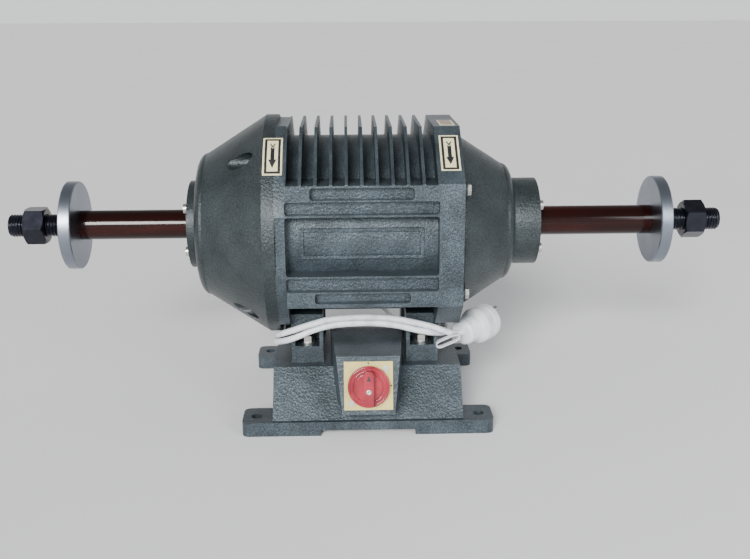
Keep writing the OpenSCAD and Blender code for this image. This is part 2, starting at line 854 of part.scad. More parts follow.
module pedestal() {
    color(iron) difference() {
        union() {
            difference() {
                union() {
                    pedestal_block(wall_x, 0, deck_h);
                    for (sy = [-1, 1])
                        translate([-wall_x, sy > 0 ? base_depth / 2 - edge_t : -base_depth / 2, 0])
                            cube([2 * wall_x, edge_t, ear_t]);
                    switch_box(0);
                    gland_boss();
                }
                difference() {
                    pedestal_block(wall_x - wall_t, wall_t, inner_top);
                    gland_boss();
                }
                switch_box(box_wall);
            }
            for (sx = [-1, 1], sy = [-1, 1]) ear(sx, sy);
            for (x = [left_foot_x, right_foot_x], side = [-1, 1]) foot_pad(x, side);
        }
        for (x = [-1, 1], y = [-1, 1])
            translate([x * bench_hole_x / 2, y * bench_hole_y / 2, -1])
                cylinder(d = bench_hole_d, h = ear_t + 2);
        for (x = [left_foot_x, right_foot_x], side = [-1, 1])
            translate([x, side * foot_bolt_y, inner_top - 1])
                cylinder(d = foot_bolt_d + 2 * bolt_gap, h = wall_t + pad_h + 2);
        translate([-relief_w / 2, -base_depth, -1]) cube([relief_w, 2 * base_depth, relief_h + 1]);
        translate([conduit_x, 0, inner_top - 1]) cylinder(r = conduit_r, h = wall_t + 2);
        on_panel() translate([0, 0, -20]) cylinder(r = switch_hole_r, h = 25);
        for (s = [-1, 1])
            on_panel() translate([s * plate_screw, s * plate_screw, -10])
                cylinder(d = 4 + 2 * bolt_gap, h = 15);
        translate([gland_x, gland_y + 1, gland_z]) rotate([90, 0, 0])
            cylinder(r = gland_r + bolt_gap, h = gland_boss_t + 5);
        for (x = clamp_x) translate([x, cap_body_y, inner_top - 1])
            cylinder(d = clamp_screw_d, h = 7);
    }
}

module foot_pad(x, side) {
    width = foot_w + 1;
    y0 = side > 0 ? foot_reach - foot_depth : -foot_reach;
    translate([x - width / 2, y0, inner_top + 1])
        cube([width, foot_depth, foot_base - inner_top - 1]);
}

// Flat round seat for the cable gland on the sloping rear wall
module gland_boss() {
    translate([gland_x, gland_y, gland_z]) rotate([90, 0, 0]) cylinder(r = 15, h = gland_boss_t);
}

module foot_bolts() {
    length = wall_t + pad_h + foot_t + 13;
    color(zinc) for (x = [left_foot_x, right_foot_x], side = [-1, 1])
        translate([x, side * foot_bolt_y, inner_top]) rotate([180, 0, 0])
            hex_bolt(foot_bolt_d, length, foot_bolt_af, 5.3);
}

module foot_washers() {
    color(zinc) for (x = [left_foot_x, right_foot_x], side = [-1, 1])
        translate([x, side * foot_bolt_y, foot_base + foot_t])
            ring(8, foot_bolt_d / 2 + bolt_gap, 1.6);
}

module foot_nuts() {
    color(zinc) for (x = [left_foot_x, right_foot_x], side = [-1, 1])
        translate([x, side * foot_bolt_y, foot_base + foot_t + 1.6]) difference() {
            hex(foot_bolt_af, 6.5);
            translate([0, 0, -1]) cylinder(d = foot_bolt_d, h = 9);
        }
}

// Tube that takes the motor leads from the pedestal into the casing
module lead_conduit() {
    color(rubber) translate([conduit_x, 0, inner_top])
        ring(conduit_r, conduit_r - 2, axis_h - bore_r - inner_top);
}

// ---- Switch and wiring ----

module switch_plate() {
    hub_hole = switch_pin_d / 2 + 1.5;
    color(cream) on_panel() difference() {
        translate([-plate_w / 2, -plate_w / 2, 0]) cube([plate_w, plate_w, plate_t]);
        translate([0, 0, -1]) cylinder(r = hub_hole, h = plate_t + 2);
        for (s = [-1, 1])
            translate([s * plate_screw, s * plate_screw, -1])
                cylinder(d = 4 + 2 * bolt_gap, h = plate_t + 2);
    }
}

// Body of the cam switch, hollow for the cam
module switch_body() {
    color(rubber) on_panel() difference() {
        union() {
            translate([0, 0, -box_wall]) cylinder(r = switch_hole_r - 0.5, h = box_wall);
            translate([-18, -18, -44]) cube([36, 36, 44 - box_wall]);
        }
        translate([0, 0, -41]) cylinder(r = 13, h = 36);
        translate([0, 0, -10]) cylinder(d = switch_pin_d + 2 * run_gap, h = 12);
    }
}

module switch_screws() {
    color(zinc) on_panel() for (s = [-1, 1])
        translate([s * plate_screw, s * plate_screw, plate_t]) {
            cylinder(d = 6, h = 1.4);
            translate([0, 0, -plate_t - box_wall]) cylinder(d = 4, h = plate_t + box_wall);
        }
}

// Round knob with a raised hub and a pointed grip
module switch_knob() {
    grip_w = 9.5;
    lift = plate_t + run_gap + 1.4;
    hub_h = 8;
    grip_h = 17;
    color(red) on_panel() difference() {
        union() {
            translate([0, 0, lift]) cylinder(d = knob_d, h = 5);
            translate([0, 0, lift + 4]) cylinder(d = 26, h = hub_h - 4);
            translate([-grip_w / 2, 3 - knob_d / 2, lift + 4])
                cube([grip_w, knob_d * 0.72, grip_h - 4]);
            translate([0, knob_d * 0.22 + 3, lift + 4])
                cylinder(d = grip_w / cos(30), h = grip_h - 4, $fn = 6);
        }
        translate([0, 0, -1]) cylinder(d = switch_pin_d, h = lift + 8);
    }
}

// Pin of the knob with the cam that works the contacts
module switch_cam() {
    color(white) on_panel() {
        translate([0, 0, -38]) cylinder(d = switch_pin_d, h = 38 + plate_t + run_gap + 8);
        for (z = [-36, -24]) translate([0, 0, z]) intersection() {
            cylinder(r = 11, h = 8);
            translate([-11, -8, 0]) cube([22, 16, 8]);
        }
    }
}

module terminal_block() {
    ways = 4;
    pitch = 10;
    color(white) translate([20, 10, inner_top - 15]) difference() {
        cube([ways * pitch, 18, 15]);
        for (i = [0:ways - 1]) translate([(i + 0.5) * pitch, -1, 5]) rotate([-90, 0, 0])
            cylinder(d = 5, h = 20);
    }
}

module run_capacitor() {
    color(steel) translate([cap_body_x, cap_body_y, cap_body_z]) rotate([0, 90, 0]) {
        cylinder(r = cap_body_r, h = cap_body_len);
        translate([0, 0, cap_body_len]) cylinder(r = 6, h = 5);
    }
}

// Strap round the capacitor, screwed up to the deck
module capacitor_clamp() {
    color(zinc) for (x = clamp_x) translate([x - 6, cap_body_y, cap_body_z]) rotate([0, 90, 0])
        difference() {
            union() {
                cylinder(r = cap_body_r + 1.5, h = 12);
                translate([-cap_body_r - 4, -cap_body_r - 1, 0]) cube([20, 2 * cap_body_r + 2, 12]);
            }
            translate([0, 0, -1]) cylinder(r = cap_body_r, h = 14);
            translate([-cap_body_r - 5, 0, 6]) rotate([0, 90, 0]) cylinder(d = 4.4, h = 12);
        }
}

module clamp_screws() {
    color(zinc) for (x = clamp_x) translate([x, cap_body_y, cap_body_z + cap_body_r])
        cylinder(d = clamp_screw_d, h = 9);
}

module cable_gland() {
    color(rubber) translate([gland_x, gland_y, gland_z]) rotate([-90, 0, 0]) difference() {
        union() {
            translate([0, 0, -gland_boss_t - gland_nut_t - 1])
                cylinder(r = gland_r, h = gland_boss_t + gland_nut_t + 2);
            hex(gland_af, 7);
            translate([0, 0, 7]) cylinder(r1 = 10, r2 = 8.5, h = 4);
            translate([0, 0, 11]) cylinder(r1 = 7, r2 = 4.6, h = gland_reach - 11);
        }
        translate([0, 0, -gland_boss_t - 10]) cylinder(d = lead_d, h = gland_boss_t + 40);
    }
}

module gland_nut() {
    color(rubber) translate([gland_x, gland_y - gland_boss_t, gland_z]) rotate([90, 0, 0])
        difference() {
            hex(gland_af, gland_nut_t);
            translate([0, 0, -1]) cylinder(r = gland_r, h = 8);
        }
}

// ---- Supply lead ----

function unit(v) = v / norm(v);
function route_dir(p, i) = unit(p[min(i + 1, len(p) - 1)] - p[max(i - 1, 0)]);

// One ring of the tube, square to the route and level with Z
function tube_ring(c, d, r, sides) =
    let (side = unit(cross(d, [0, 0, 1])), up = cross(side, d))
    [for (k = [0:sides - 1]) c + r * (cos(360 * k / sides) * side + sin(360 * k / sides) * up)];

module tube(p, r, sides) {
    n = len(p);
    points = [for (i = [0:n - 1]) each tube_ring(p[i], route_dir(p, i), r, sides)];
    skin = [for (i = [0:n - 2], k = [0:sides - 1])
        let (a = i * sides + k, b = i * sides + (k + 1) % sides)
        [a, b, b + sides, a + sides]];
    start = [[for (k = [sides - 1:-1:0]) k]];
    end = [[for (k = [0:sides - 1]) (n - 1) * sides + k]];
    polyhedron(points, concat(start, skin, end), convexity = 20);
}

module power_cord() {
    color(white) tube(lead_route, lead_d / 2, 10);
}

module at_plug() {
    translate(plug_at) rotate([0, 0, plug_turn]) rotate([0, 90 - plug_lift, 0]) children();
}

module plug_body() {
    neck_r = 14;
    color(white) at_plug() difference() {
        rotate_extrude() polygon([
            [0, 0], [neck_r - 4, 0], [neck_r - 1, 2], [neck_r, 5], [neck_r, plug_neck - 3],
            [plug_d / 2 - 1.5, plug_neck + 3], [plug_d / 2, plug_neck + 5],
            [plug_d / 2, plug_len - 3], [plug_d / 2 - 2, plug_len], [0, plug_len]
        ]);
        for (s = [-1, 1]) translate([s * 9.5, 0, plug_len - 12]) cylinder(d = 4.8, h = 20);
    }
}

module plug_pins() {
    pin_len = 19;
    color(steel) at_plug() for (s = [-1, 1]) translate([s * 9.5, 0, plug_len - 12]) {
        cylinder(d = 4.8, h = 12 + pin_len - 2);
        translate([0, 0, 12 + pin_len - 2]) cylinder(d1 = 4.8, d2 = 3, h = 2);
    }
}

// Folded strap under the lead, next to the plug
module cord_tie() {
    color(white) hull() {
        translate(tie_at) sphere(r = 4.2, $fn = 20);
        translate(tie_end) sphere(r = 4.2, $fn = 20);
    }
}

// ---- Labels ----

// Arrow label on the rounded shoulder at the left joint
module left_arrow_label() {
    color(cream) on_axis(left_joint - 11) rotate([0, 0, 270 - left_label_up])
        rotate_extrude(angle = left_label_arc) translate([left_rim_r, 0]) square([label_t, label_w]);
}

// Arrow label on the flat shoulder of the right band
module right_arrow_label() {
    color(cream) translate([right_joint - 22, -crown_half, axis_h + crown_r])
        rotate([facet_angle, 0, 0]) translate([0, -right_label_drop - right_label_len, 0])
            cube([label_w, right_label_len, label_t]);
}

module top_label() {
    color(cream) translate([right_joint - 19, -42, axis_h + crown_r]) cube([15, 40, label_t]);
}

pedestal();
stator_housing();
left_end_bell();
right_end_bell();
left_bearing_cap();
right_bearing_cap();
left_bell_bolts();
right_bell_bolts();
left_cap_screws();
right_cap_screws();
stator_core();
stator_winding();
left_outer_race();
right_outer_race();
preload_spring();
left_shaft_seal();
right_shaft_seal();
foot_bolts();
foot_nuts();
foot_washers();
lead_conduit();
switch_plate();
switch_body();
switch_screws();
terminal_block();
run_capacitor();
capacitor_clamp();
clamp_screws();
cable_gland();
gland_nut();
power_cord();
plug_body();
plug_pins();
cord_tie();
left_arrow_label();
right_arrow_label();
top_label();
spindle_shaft();
rotor_core();
rotor_cage();
left_inner_race();
right_inner_race();
left_sleeve();
right_sleeve();
left_flange();
right_flange();
left_ball_set();
right_ball_set();
left_nut();
right_nut();
switch_knob();
switch_cam();
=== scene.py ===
"""Looks of a double-ended bench grinding and polishing motor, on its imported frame.

X runs along the spindle, -Y is the switch side, Z is up, and the bench is at Z = 0. Lengths are in metres.
"""

import json
import math

import bmesh
import bpy
from mathutils import Matrix, Vector


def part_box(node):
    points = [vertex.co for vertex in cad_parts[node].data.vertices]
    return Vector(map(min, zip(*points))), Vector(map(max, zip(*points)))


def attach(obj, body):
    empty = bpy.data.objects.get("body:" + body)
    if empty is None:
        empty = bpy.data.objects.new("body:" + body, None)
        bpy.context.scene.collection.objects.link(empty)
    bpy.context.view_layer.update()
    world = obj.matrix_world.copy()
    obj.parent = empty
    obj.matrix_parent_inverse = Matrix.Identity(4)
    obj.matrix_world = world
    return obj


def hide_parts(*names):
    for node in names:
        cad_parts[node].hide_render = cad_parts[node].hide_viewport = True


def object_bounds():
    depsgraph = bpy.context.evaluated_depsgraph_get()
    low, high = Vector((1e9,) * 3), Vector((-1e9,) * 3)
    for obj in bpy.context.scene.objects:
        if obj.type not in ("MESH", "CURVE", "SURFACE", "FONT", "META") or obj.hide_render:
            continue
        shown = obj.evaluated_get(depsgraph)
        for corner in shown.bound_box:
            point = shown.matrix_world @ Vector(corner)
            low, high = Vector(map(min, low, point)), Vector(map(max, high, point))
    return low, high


MM = 0.001
# Radii and distances under this count as nothing
TINY = 1e-7

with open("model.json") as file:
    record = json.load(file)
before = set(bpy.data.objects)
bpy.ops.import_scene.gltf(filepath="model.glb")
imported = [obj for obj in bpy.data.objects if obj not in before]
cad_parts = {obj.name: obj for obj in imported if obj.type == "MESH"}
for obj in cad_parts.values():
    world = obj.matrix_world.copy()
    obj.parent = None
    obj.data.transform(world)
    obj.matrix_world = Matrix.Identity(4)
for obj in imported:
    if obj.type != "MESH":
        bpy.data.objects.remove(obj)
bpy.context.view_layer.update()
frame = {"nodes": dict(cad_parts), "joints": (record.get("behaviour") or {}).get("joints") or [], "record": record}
NODES = frame["nodes"]

# ---- Camera ----

CAMERA_AT = Vector((-0.01833, -1.00911, 0.42416))
CAMERA_DOWN = 16.16
CAMERA_RIGHT = 1.64
CAMERA_ROLL = -0.25
LENS = 46.2
SENSOR = 36.0


def make_camera():
    data = bpy.data.cameras.new("camera")
    data.lens = LENS
    data.sensor_width = SENSOR
    data.clip_start, data.clip_end = 0.05, 20
    camera = add_object("camera", data)
    turn = Matrix.Rotation(math.radians(-CAMERA_RIGHT), 4, "Z")
    pitch = Matrix.Rotation(math.radians(90 - CAMERA_DOWN), 4, "X")
    roll = Matrix.Rotation(math.radians(CAMERA_ROLL), 4, "Z")
    camera.matrix_world = Matrix.Translation(CAMERA_AT) @ turn @ pitch @ roll
    bpy.context.scene.camera = camera


# ---- Mesh helpers ----


def add_object(name, data):
    """Object for a mesh, curve, light or camera, linked into the scene."""
    thing = bpy.data.objects.new(name, data)
    bpy.context.scene.collection.objects.link(thing)
    return thing


def link(name, mesh, material, body="motor_frame"):
    """Puts a mesh in the scene on a CAD body, with one material."""
    piece = add_object(name, mesh)
    mesh.materials.append(material)
    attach(piece, body)
    return piece


def mesh_of(name, bm):
    """Smooth mesh from a bmesh, with its normals turned outwards."""
    mesh = bpy.data.meshes.new(name)
    bmesh.ops.recalc_face_normals(bm, faces=bm.faces)
    bm.to_mesh(mesh)
    bm.free()
    for polygon in mesh.polygons:
        polygon.use_smooth = True
    return mesh


def bridge(bm, rings, sides):
    """Faces between each ring of vertices and the next. A ring of one vertex closes the end."""
    for low, high in zip(rings, rings[1:]):
        for k in range(sides):
            j = (k + 1) % sides
            corners = [
                low[k % len(low)], low[j % len(low)],
                high[j % len(high)], high[k % len(high)],
            ]
            bm.faces.new(list(dict.fromkeys(corners)))


def lathe(bm, outline, sides, matrix):
    """Turns an outline of (radius, height) about Z. A radius of 0 closes the end."""
    rings = []
    for radius, height in outline:
        if radius < TINY:
            rings.append([bm.verts.new(matrix @ Vector((0, 0, height)))])
            continue
        ring = []
        for k in range(sides):
            a = 2 * math.pi * k / sides
            point = Vector((radius * math.cos(a), radius * math.sin(a), height))
            ring.append(bm.verts.new(matrix @ point))
        rings.append(ring)
    bridge(bm, rings, sides)
    return bm


def round_edges(piece, width, segments=3, angle=35):
    """Small rounded edges, as on a casting. A second material is laid on the edges alone."""
    bevel = piece.modifiers.new("edges", "BEVEL")
    bevel.width = width
    bevel.segments = segments
    bevel.limit_method = "ANGLE"
    bevel.angle_limit = math.radians(angle)
    bevel.use_clamp_overlap = True
    if len(piece.data.materials) > 1:
        bevel.material = 1
    normals = piece.modifiers.new("normals", "WEIGHTED_NORMAL")
    normals.keep_sharp = True
    return piece


# ---- Material helpers ----


class Nodes:
    """Short ways to add nodes to one material."""

    def __init__(self, name):
        self.material = bpy.data.materials.new(name)
        self.material.use_nodes = True
        self.tree = self.material.node_tree
        self.shader = self.tree.nodes["Principled BSDF"]
        self.coordinates = self.add("ShaderNodeTexCoord").outputs["Object"]

    def add(self, kind, **values):
        node = self.tree.nodes.new(kind)
        for key, value in values.items():
            setattr(node, key, value)
        return node

    def link(self, output, target):
        self.tree.links.new(output, target)

    def set(self, **values):
        for key, value in values.items():
            self.shader.inputs[key.replace("_", " ")].default_value = value

    def noise(self, scale, detail=3.0, roughness=0.5, stretch=(1, 1, 1)):
        mapping = self.add("ShaderNodeMapping")
        mapping.inputs["Scale"].default_value = stretch
        self.link(self.coordinates, mapping.inputs["Vector"])
        texture = self.add("ShaderNodeTexNoise")
        texture.inputs["Scale"].default_value = scale
        texture.inputs["Detail"].default_value = detail
        texture.inputs["Roughness"].default_value = roughness
        self.link(mapping.outputs["Vector"], texture.inputs["Vector"])
        return texture.outputs["Fac"]

    def cells(self, scale, smooth=0.6):
        texture = self.add("ShaderNodeTexVoronoi", feature="SMOOTH_F1")
        texture.inputs["Scale"].default_value = scale
        texture.inputs["Smoothness"].default_value = smooth
        self.link(self.coordinates, texture.inputs["Vector"])
        return texture.outputs["Distance"]

    def ramp(self, value, stops):
        ramp = self.add("ShaderNodeValToRGB")
        elements = ramp.color_ramp.elements
        while len(elements) < len(stops):
            elements.new(0.5)
        for element, (place, colour) in zip(elements, stops):
            element.position = place
            element.color = (*colour, 1) if len(colour) == 3 else colour
        self.link(value, ramp.inputs["Fac"])
        return ramp.outputs["Color"]

    def spread(self, value, low, high):
        scale = self.add("ShaderNodeMapRange")
        scale.inputs["To Min"].default_value = low
        scale.inputs["To Max"].default_value = high
        self.link(value, scale.inputs["Value"])
        return scale.outputs["Result"]

    def mix(self, share, first, second, blend="MIX"):
        node = self.add("ShaderNodeMix", data_type="RGBA", blend_type=blend)
        for socket, value in ((node.inputs[0], share), (node.inputs[6], first), (node.inputs[7], second)):
            if isinstance(value, (int, float, tuple)):
                socket.default_value = value
            else:
                self.link(value, socket)
        return node.outputs[2]

    def math(self, operation, first, second):
        node = self.add("ShaderNodeMath", operation=operation)
        for socket, value in zip(node.inputs, (first, second)):
            if isinstance(value, (int, float)):
                socket.default_value = value
            else:
                self.link(value, socket)
        return node.outputs[0]

    def bump(self, height, depth, strength=1.0):
        bump = self.add("ShaderNodeBump")
        bump.inputs["Distance"].default_value = depth
        bump.inputs["Strength"].default_value = strength
        self.link(height, bump.inputs["Height"])
        self.link(bump.outputs["Normal"], self.shader.inputs["Normal"])

    def colour(self, output):
        self.link(output, self.shader.inputs["Base Color"])

    def rough(self, output):
        self.link(output, self.shader.inputs["Roughness"])


# ---- Materials ----


def hammered_paint(name, dark, light, rough=(0.30, 0.50)):
    """Hammered enamel on cast iron: dimples with pale flecks, partly the paint's own speckle and partly painted
    glints, over a faint casting texture.
    """
    n = Nodes(name)
    dimples = n.cells(420, 0.7)
    mottle = n.noise(34, 4)
    grain = n.noise(1150, 3, 0.65)
    tint = n.ramp(mottle, [(0.30, dark), (0.72, light)])
    # Pale specks, some brighter than white: partly the paint's speckle, partly painted glints of sparkle
    flecks_and_glints = n.ramp(grain, [
        (0.36, (0.42, 0.42, 0.42)),
        (0.52, (0.95, 0.95, 0.95)),
        (0.68, (1.9, 1.9, 1.9)),
    ])
    n.colour(n.mix(1.0, tint, flecks_and_glints, "MULTIPLY"))
    n.rough(n.spread(grain, *rough))
    n.bump(n.math("ADD", dimples, n.math("MULTIPLY", grain, 0.7)), 0.0008, 0.5)
    n.set(Metallic=0.45, Specular_IOR_Level=0.5, Coat_Weight=0.12, Coat_Roughness=0.3)
    return n.material


def plated_steel(name, colour, rough=(0.25, 0.45)):
    n = Nodes(name)
    patches = n.noise(220, 4)
    fine = n.noise(1800, 2)
    n.colour(n.ramp(patches, [(0.3, tuple(c * 0.72 for c in colour)), (0.75, colour)]))
    n.rough(n.spread(fine, *rough))
    n.bump(fine, 0.00008, 0.4)
    n.set(Metallic=1.0)
    return n.material


def turned_metal(name, colour, rough=(0.22, 0.38)):
    """Lathe marks: rings about the spindle axis, on the faces and round the rims."""
    n = Nodes(name)
    low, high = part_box("spindle_shaft")
    middle = (low.z + high.z) / 2
    split = n.add("ShaderNodeSeparateXYZ")
    n.link(n.coordinates, split.inputs[0])
    y, z = split.outputs["Y"], n.math("SUBTRACT", split.outputs["Z"], middle)
    radius = n.math("POWER", n.math("ADD", n.math("MULTIPLY", y, y), n.math("MULTIPLY", z, z)), 0.5)
    join = n.add("ShaderNodeCombineXYZ")
    n.link(radius, join.inputs["X"])
    n.link(split.outputs["X"], join.inputs["Y"])
    rings = n.add("ShaderNodeTexNoise")
    rings.inputs["Scale"].default_value = 1900
    rings.inputs["Detail"].default_value = 3
    n.link(join.outputs[0], rings.inputs["Vector"])
    broad = n.noise(30, 3)
    n.colour(n.ramp(broad, [(0.25, tuple(c * 0.82 for c in colour)), (0.75, colour)]))
    n.rough(n.spread(rings.outputs["Fac"], *rough))
    n.bump(rings.outputs["Fac"], 0.00012, 0.5)
    tangent = n.add("ShaderNodeTangent", direction_type="RADIAL", axis="X")
    n.link(tangent.outputs[0], n.shader.inputs["Tangent"])
    n.set(Metallic=1.0, Anisotropic=0.35)
    return n.material


def blued_steel():
    """Nearly black steel with an oil film, lighter in patches."""
    n = Nodes("blued_steel")
    patches = n.noise(120, 5, 0.6)
    fine = n.noise(1500, 2)
    base = n.ramp(patches, [(0.3, (0.003, 0.004, 0.009)), (0.7, (0.012, 0.014, 0.026))])
    n.colour(base)
    n.rough(n.spread(patches, 0.22, 0.42))
    n.bump(fine, 0.0001, 0.35)
    n.set(Metallic=0.7, Coat_Weight=0.25, Coat_Roughness=0.12)
    return n.material


def sleeve_enamel():
    """Thick dark red-brown enamel on a tube, glossy, with runs along its length."""
    n = Nodes("sleeve_enamel")
    runs = n.noise(60, 4, 0.55, (0.12, 1, 1))
    fine = n.noise(700, 2)
    n.colour(n.ramp(runs, [
        (0.3, (0.006, 0.0008, 0.0005)),
        (0.55, (0.014, 0.0018, 0.001)),
        (0.8, (0.036, 0.005, 0.003)),
    ]))
    n.rough(n.spread(fine, 0.08, 0.20))
    n.bump(runs, 0.0003, 0.3)
    n.set(Metallic=0.0, Specular_IOR_Level=0.22, Coat_Weight=0.12, Coat_Roughness=0.05)
    return n.material


def laminations():
    """Thin stacked sheets, seen edge on along the spindle."""
    n = Nodes("laminations")
    wave = n.add("ShaderNodeTexWave", wave_type="BANDS", bands_direction="X")
    wave.inputs["Scale"].default_value = 320
    wave.inputs["Distortion"].default_value = 0.4
    n.link(n.coordinates, wave.inputs["Vector"])
    n.colour(n.ramp(wave.outputs["Fac"], [(0.2, (0.10, 0.10, 0.11)), (0.8, (0.34, 0.34, 0.36))]))
    n.rough(n.spread(n.noise(400), 0.35, 0.6))
    n.bump(wave.outputs["Fac"], 0.0002, 0.5)
    n.set(Metallic=0.9)
    return n.material


def varnished_copper():
    n = Nodes("varnished_copper")
    strands = n.noise(500, 3, 0.5, (0.08, 1, 1))
    n.colour(n.ramp(strands, [(0.3, (0.20, 0.05, 0.015)), (0.75, (0.62, 0.24, 0.09))]))
    n.rough(n.spread(strands, 0.25, 0.45))
    n.bump(strands, 0.0006, 0.7)
    n.set(Metallic=0.8, Coat_Weight=0.5, Coat_Roughness=0.15)
    return n.material


def moulded(name, colour, rough=(0.34, 0.52), grain=1300, depth=0.00012, coat=0.0, stain_colour=None):
    """Moulded plastic with fine grain, and faint staining towards another colour."""
    n = Nodes(name)
    stain = n.noise(55, 5, 0.6)
    fine = n.noise(grain, 2)
    other = stain_colour or tuple(c * 0.84 for c in colour)
    n.colour(n.ramp(stain, [(0.34, other), (0.62, colour)]))
    n.rough(n.spread(fine, *rough))
    n.bump(fine, depth, 0.5)
    n.set(Coat_Weight=coat, Coat_Roughness=0.12)
    return n.material


def soft_sheath(name):
    """PVC sheath of the lead: soft gloss, slight waviness and handling marks."""
    n = Nodes(name)
    marks = n.noise(80, 5, 0.65)
    wavy = n.noise(140, 2)
    n.colour(n.ramp(marks, [
        (0.28, (0.50, 0.53, 0.58)),
        (0.52, (0.80, 0.82, 0.86)),
        (0.8, (0.88, 0.90, 0.93)),
    ]))
    n.rough(n.spread(marks, 0.30, 0.5))
    n.bump(wavy, 0.0005, 0.3)
    n.set(Subsurface_Weight=0.06, Coat_Weight=0.15, Coat_Roughness=0.3)
    return n.material


def rubber():
    n = Nodes("rubber")
    fine = n.noise(900, 3)
    n.colour(n.ramp(fine, [(0.3, (0.010, 0.010, 0.010)), (0.8, (0.035, 0.035, 0.036))]))
    n.rough(n.spread(fine, 0.6, 0.85))
    n.bump(fine, 0.0003, 0.5)
    return n.material


def sticker(name, colour):
    n = Nodes(name)
    aged = n.noise(130, 4)
    n.colour(n.ramp(aged, [(0.3, tuple(c * 0.88 for c in colour)), (0.7, colour)]))
    n.rough(n.spread(aged, 0.35, 0.55))
    n.bump(n.noise(700), 0.00006, 0.4)
    n.set(Coat_Weight=0.3, Coat_Roughness=0.2)
    return n.material


def ink(name, colour):
    n = Nodes(name)
    aged = n.noise(400, 4)
    n.colour(n.ramp(aged, [(0.3, colour), (0.9, tuple(c + 0.02 for c in colour))]))
    n.rough(n.spread(aged, 0.4, 0.55))
    n.bump(aged, 0.00004, 0.3)
    return n.material


MATERIALS = {
    "casting_paint": hammered_paint("casting_paint", (0.036, 0.050, 0.060), (0.080, 0.106, 0.124)),
    "bell_paint": hammered_paint("bell_paint", (0.022, 0.030, 0.033), (0.046, 0.060, 0.065)),
    "zinc": plated_steel("zinc", (0.66, 0.66, 0.63)),
    "laminations": laminations(),
    "copper": varnished_copper(),
    "bearing_steel": turned_metal("bearing_steel", (0.62, 0.63, 0.65), (0.12, 0.24)),
    "black_oxide": blued_steel(),
    "sleeve_enamel": sleeve_enamel(),
    "turned_aluminium": turned_metal("turned_aluminium", (0.26, 0.29, 0.34), (0.24, 0.40)),
    "cast_aluminium": plated_steel("cast_aluminium", (0.62, 0.63, 0.65), (0.35, 0.6)),
    "seal_rubber": rubber(),
    "black_plastic": moulded("black_plastic", (0.028, 0.028, 0.030), (0.4, 0.6)),
    "switch_plate_plastic": moulded(
        "switch_plate_plastic", (0.72, 0.62, 0.22), (0.25, 0.4), grain=900, depth=0.0001, coat=0.2,
    ),
    "knob_plastic": moulded(
        "knob_plastic", (0.42, 0.022, 0.045), (0.16, 0.30), grain=900, depth=0.0001, coat=0.4,
        stain_colour=(0.25, 0.010, 0.022),
    ),
    "white_plastic": moulded("white_plastic", (0.78, 0.80, 0.82), (0.3, 0.45)),
    "lead_sheath": soft_sheath("lead_sheath"),
    "plug_shell": moulded(
        "plug_shell", (0.80, 0.83, 0.86), (0.28, 0.42), grain=1100, depth=0.0002, coat=0.2,
        stain_colour=(0.60, 0.64, 0.68),
    ),
    "plug_pin_metal": plated_steel("plug_pin_metal", (0.52, 0.52, 0.50)),
    "label": sticker("label", (0.86, 0.80, 0.50)),
    "capacitor_can": plated_steel("capacitor_can", (0.66, 0.67, 0.69), (0.3, 0.5)),
}
INK = ink("ink", (0.008, 0.008, 0.010))
TAN = sticker("tan_print", (0.30, 0.19, 0.10))
# Lighter, smoother paint laid on the rounded edges: a painted highlight along the edges
EDGE_HIGHLIGHT_PAINT = hammered_paint("edge_highlight_paint", (0.16, 0.20, 0.22), (0.30, 0.35, 0.37), (0.22, 0.36))


def paint_nodes():
    """Every CAD node takes the material of its slot in the record."""
    for row in frame["record"]["subparts"]:
        node = NODES[row["node"]]
        node.data.materials.clear()
        node.data.materials.append(MATERIALS[row["material_slot"]])


# Radius of the rounded edges of each node, in mm
ROUNDED = {
    "pedestal": 1.1,
    "stator_housing": 0.7,
    "left_end_bell": 1.2,
    "right_end_bell": 1.0,
    "left_bearing_cap": 0.8,
    "right_bearing_cap": 0.8,
    "switch_plate": 0.4,
    "left_flange": 0.4,
    "right_flange": 0.4,
    "cable_gland": 0.4,
    "terminal_block": 0.4,
    "switch_knob": 0.5,
}
# Nodes whose rounded edges get a lighter paint, a painted highlight along the edges
HIGHLIT_EDGE_NODES = (
    "pedestal", "stator_housing", "left_end_bell", "right_end_bell",
    "left_bearing_cap", "right_bearing_cap",
)


def soften_castings():
    """Cast and moulded nodes get small round edges, on the render only."""
    for name, width in ROUNDED.items():
        if name in HIGHLIT_EDGE_NODES:
            NODES[name].data.materials.append(EDGE_HIGHLIGHT_PAINT)
        round_edges(NODES[name], width * MM)


# ---- Supply lead ----

LEAD_D = 6.5 * MM
